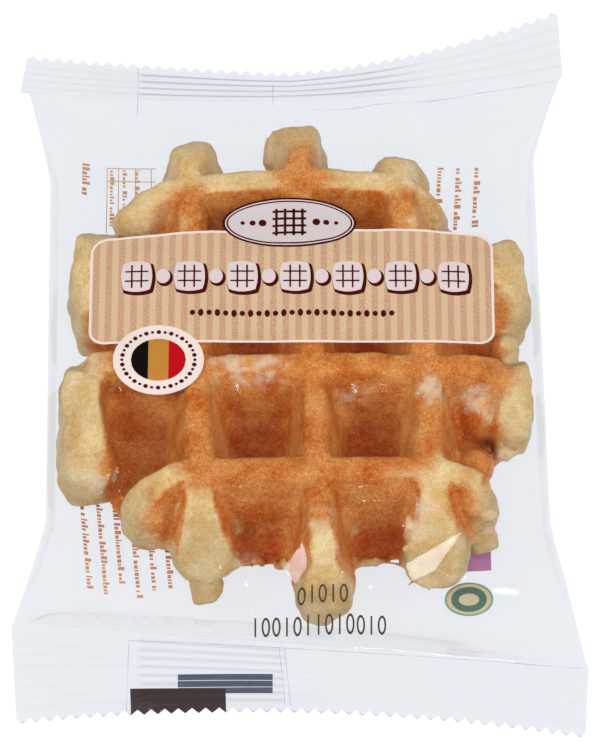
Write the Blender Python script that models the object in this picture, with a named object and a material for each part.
"""A pearl sugar waffle sealed in a clear flow pack that lies on its back seam.

The pack is one closed solid. Its film is drawn snug over a waffle of four cross ridges and
five long ridges, so the ridges stand out softly on the upper side. Both end seals are flat
strips with a zigzag cut, wavy because the film is springy. A folded back seam runs the whole
length of the underside, which is otherwise flat.

Sizes are in millimetres and become metres where the mesh is made. X is the width, Y runs
along the pack from its near seal to its far seal, and Z is up from the table.
"""
import math

import bmesh
import bpy

MM = 0.001

# Body of the pack: a snug tube with its widest line at half the waffle's height
BODY_TOP = 28.6
BODY_MIDDLE = 14.0
BODY_HALF_WIDTH = 57.0
SIDE_SQUARENESS = 8.0
SIDE_ROUNDNESS = 1.8
AXIS_LEAN = -0.015

# Seal strips: values at the left end, the middle and the right end of each strip
NEAR_INNER_Y = (-65.9, -70.7, -74.4)
NEAR_INNER_Z = (14.0, 13.0, 9.0)
NEAR_OUTER_Y = (-86.3, -86.5, -88.4)
NEAR_OUTER_Z = (7.0, 13.0, 4.0)
FAR_INNER_Y = (75.4, 74.0, 75.7)
FAR_INNER_Z = (14.0, 13.0, 20.0)
FAR_OUTER_Y = (88.5, 86.8, 88.8)
FAR_OUTER_Z = (9.0, 4.2, 27.5)
FAR_LEFT_RIPPLE = 3.4
SEAL_THICKNESS = 0.8
SEAL_HALF_WIDTH = 64.4
SEAL_END_TAPER = 1.0
TOOTH_COUNT = 42
TOOTH_DEPTH = 1.3

# The tube opens out to the seals between these lines, left side and right side
NEAR_FLARE_START = (-40.3, -40.8)
FAR_FLARE_START = (50.2, 56.2)
NEAR_FLARE_HALF_WIDTH = (64.0, 64.2)
FAR_FLARE_HALF_WIDTH = (62.2, 63.8)
FLARE_CURVE = 1.15

# The film comes down from the waffle to each seal over this length
NEAR_SHOULDER = 19.0
NEAR_SHOULDER_CURVE = 2.0
FAR_SHOULDER = 27.0
FAR_SHOULDER_CURVE = 1.7

# The waffle's ridges, which show through as soft relief. The film is tightest under the
# label, so the dips between the ridges are given for each row of pockets, near row first.
CROSS_RIDGES = (-34.0, -7.0, 18.0, 41.0)
POCKET_DIPS = (2.8, 0.5, 0.5)
END_DIP = 3.4
SIDE_DIP = 1.8
LONG_RIDGE_PITCH = 25.6
LONG_RIDGE_TAPER = -0.027
LONG_RIDGE_CENTRE = 3.4
LONG_RIDGE_LEAN = -0.069
LONG_RIDGES_EACH_SIDE = 2
RIDGE_HALF_WIDTH = 3.2
RIDGE_FADE = 5.5

# Folded back seam, a low band on the flat base between two columns of the lower web
SEAM_THICKNESS = 0.6
SEAM_COLUMNS = (18, 40)
SEAM_STEP = 0.5

# Cells of the two webs: each tooth of the zigzag is two columns wide
COLUMNS = 2 * TOOTH_COUNT
BODY_CELLS = 42
SEAL_CELLS = 2
SIDE_CROWDING = 0.5
FLAT_ANGLE = 0.6


def clamp(value):
    return max(0.0, min(1.0, value))


def smooth(value):
    value = clamp(value)
    return value * value * (3.0 - 2.0 * value)


def mix(a, b, share):
    return a + (b - a) * share


def across(values, s):
    """A smooth curve through the left, middle and right value, with s from -1 to 1."""
    left, middle, right = values
    slope = (right - left) / 2.0
    bend = (right + left) / 2.0 - middle
    return middle + slope * s + bend * s * s


def flare(y, right_side):
    """Half of the pack's width on one side."""
    side = 1 if right_side else 0
    near_line = NEAR_INNER_Y[2 * side]
    far_line = FAR_INNER_Y[2 * side]
    near_start = NEAR_FLARE_START[side]
    far_start = FAR_FLARE_START[side]
    if y < near_start:
        share = clamp((near_start - y) / (near_start - near_line)) ** FLARE_CURVE
        return mix(BODY_HALF_WIDTH, NEAR_FLARE_HALF_WIDTH[side], share)
    share = clamp((y - far_start) / (far_line - far_start)) ** FLARE_CURVE
    return mix(BODY_HALF_WIDTH, FAR_FLARE_HALF_WIDTH[side], share)


def ridge_near(distance):
    """1 on a ridge, falling to 0 in the open pocket beside it."""
    return 1.0 - smooth((abs(distance) - RIDGE_HALF_WIDTH) / RIDGE_FADE)


def long_ridge(x, y):
    pitch = LONG_RIDGE_PITCH + LONG_RIDGE_TAPER * y
    centre = LONG_RIDGE_CENTRE + LONG_RIDGE_LEAN * y
    count = range(-LONG_RIDGES_EACH_SIDE, LONG_RIDGES_EACH_SIDE + 1)
    return max(ridge_near(x - centre - k * pitch) for k in count)


def dip(x, y, reach, edge):
    """How far the film sinks between the ridges, where edge is 1 at the pack's side."""
    between_long = 1.0 - long_ridge(x, y)
    between_cross = 1.0 - max(ridge_near(y - line) for line in CROSS_RIDGES)
    for row, depth in enumerate(POCKET_DIPS):
        if CROSS_RIDGES[row] <= y <= CROSS_RIDGES[row + 1]:
            side = SIDE_DIP * smooth((edge - 0.8) / 0.12)
            return between_cross * max(depth * between_long, side)
    return between_cross * between_long * END_DIP * reach * (1.0 - edge ** 6)


def body_point(s, share, upper):
    """A point of the tube between the inner lines of the two seals."""
    near_line = across(NEAR_INNER_Y, s)
    far_line = across(FAR_INNER_Y, s)
    y = mix(near_line, far_line, share)
    near_rise = clamp((y - near_line) / NEAR_SHOULDER)
    far_rise = clamp((far_line - y) / FAR_SHOULDER)
    near_reach = 1.0 - (1.0 - near_rise) ** NEAR_SHOULDER_CURVE
    far_reach = 1.0 - (1.0 - far_rise) ** FAR_SHOULDER_CURVE
    reach = near_reach * far_reach
    place = mix(s, math.sin(s * math.pi / 2.0), SIDE_CROWDING * smooth(reach))
    x = AXIS_LEAN * y + place * flare(y, s > 0.0)
    middle = mix(across(NEAR_INNER_Z, s), BODY_MIDDLE, smooth(near_rise))
    middle = mix(across(FAR_INNER_Z, s), middle, smooth(far_rise))
    edge = abs(place)
    fullness = (1.0 - edge ** SIDE_SQUARENESS) ** (1.0 / SIDE_ROUNDNESS)
    half_seal = SEAL_THICKNESS / 2.0
    if upper:
        z = middle + half_seal + (BODY_TOP - middle - half_seal) * reach * fullness
        return x, y, z - dip(x, y, reach, edge) * fullness
    depth = middle - half_seal - SEAM_THICKNESS
    return x, y, middle - half_seal - depth * reach * fullness


def seal_point(s, share, far, upper):
    """A point of a seal strip, from its inner line at share 0 to its cut edge at share 1."""
    inner_y = FAR_INNER_Y if far else NEAR_INNER_Y
    inner_z = FAR_INNER_Z if far else NEAR_INNER_Z
    outer_y = FAR_OUTER_Y if far else NEAR_OUTER_Y
    outer_z = FAR_OUTER_Z if far else NEAR_OUTER_Z
    y = mix(across(inner_y, s), across(outer_y, s), share)
    z = mix(across(inner_z, s), across(outer_z, s), share)
    if far and s < 0.0:
        z += FAR_LEFT_RIPPLE * math.sin(-math.pi * s) * share
    x = AXIS_LEAN * y + s * (SEAL_HALF_WIDTH - SEAL_END_TAPER * share)
    half_seal = SEAL_THICKNESS / 2.0
    return x, y, z + half_seal if upper else z - half_seal


def web_point(column, row, upper):
    """Column 0 to COLUMNS from the left, row 0 at the near cut edge."""
    s = 2.0 * column / COLUMNS - 1.0
    body_row = row - SEAL_CELLS
    if 0 <= body_row <= BODY_CELLS:
        return body_point(s, body_row / BODY_CELLS, upper)
    far = body_row > 0
    share = (body_row - BODY_CELLS) / SEAL_CELLS if far else -body_row / SEAL_CELLS
    x, y, z = seal_point(s, share, far, upper)
    if share > 0.999 and column % 2 == 1:
        y += TOOTH_DEPTH if far else -TOOTH_DEPTH
    return x, y, z


def lower_point(column, row):
    """The lower web, with the seam's band stepped down and its two edges drawn crisp."""
    x, y, z = web_point(column, row, False)
    left, right = SEAM_COLUMNS
    if left <= column <= right:
        return x, y, z - SEAM_THICKNESS
    if column == left - 1:
        return web_point(left, row, False)[0] - SEAM_STEP, y, z
    if column == right + 1:
        return web_point(right, row, False)[0] + SEAM_STEP, y, z
    return x, y, z


def add_web(bm, upper):
    """One side of the pack: a flat grid that is pulled to shape."""
    rows = BODY_CELLS + 2 * SEAL_CELLS
    grid = bmesh.ops.create_grid(bm, x_segments=COLUMNS, y_segments=rows, size=1.0)
    faces = {face for vert in grid["verts"] for face in vert.link_faces}
    for vert in grid["verts"]:
        column = round((vert.co.x + 1.0) / 2.0 * COLUMNS)
        row = round((vert.co.y + 1.0) / 2.0 * rows)
        point = web_point(column, row, True) if upper else lower_point(column, row)
        vert.co = [value * MM for value in point]
    if not upper:
        bmesh.ops.reverse_faces(bm, faces=list(faces))


def merge_flat_faces(bm):
    """The flat base needs no grid, so its level faces become large ones."""
    level = 2.0 * SEAM_THICKNESS * MM
    low = [face for face in bm.faces if face.calc_center_median().z < level]
    flat = [face for face in low if face.normal.z < -0.9999]
    verts = list({vert for face in flat for vert in face.verts})
    edges = list({edge for face in flat for edge in face.edges})
    bmesh.ops.dissolve_limit(bm, angle_limit=math.radians(FLAT_ANGLE), verts=verts, edges=edges)
    bmesh.ops.triangulate(bm, faces=bm.faces[:])


def build_pack_mesh():
    bm = bmesh.new()
    add_web(bm, True)
    add_web(bm, False)
    bmesh.ops.bridge_loops(bm, edges=[edge for edge in bm.edges if edge.is_boundary])
    bmesh.ops.recalc_face_normals(bm, faces=bm.faces[:])
    merge_flat_faces(bm)
    mesh = bpy.data.meshes.new("waffle_pack")
    bm.to_mesh(mesh)
    bm.free()
    return mesh


def film_material():
    """Clear film over a golden waffle, as one plain colour."""
    material = bpy.data.materials.new("clear_pack_film")
    material.use_nodes = True
    shader = material.node_tree.nodes["Principled BSDF"]
    shader.inputs["Base Color"].default_value = (0.62, 0.36, 0.15, 1.0)
    shader.inputs["Roughness"].default_value = 0.22
    shader.inputs["Metallic"].default_value = 0.0
    return material


def main():
    for item in list(bpy.data.objects):
        bpy.data.objects.remove(item, do_unlink=True)
    collection = bpy.data.collections.new("belgian_waffle")
    bpy.context.scene.collection.children.link(collection)
    pack = bpy.data.objects.new("waffle_pack", build_pack_mesh())
    pack.data.materials.append(film_material())
    pack.data.shade_smooth()
    pack.data.set_sharp_from_angle(angle=math.radians(35.0))
    collection.objects.link(pack)


main()
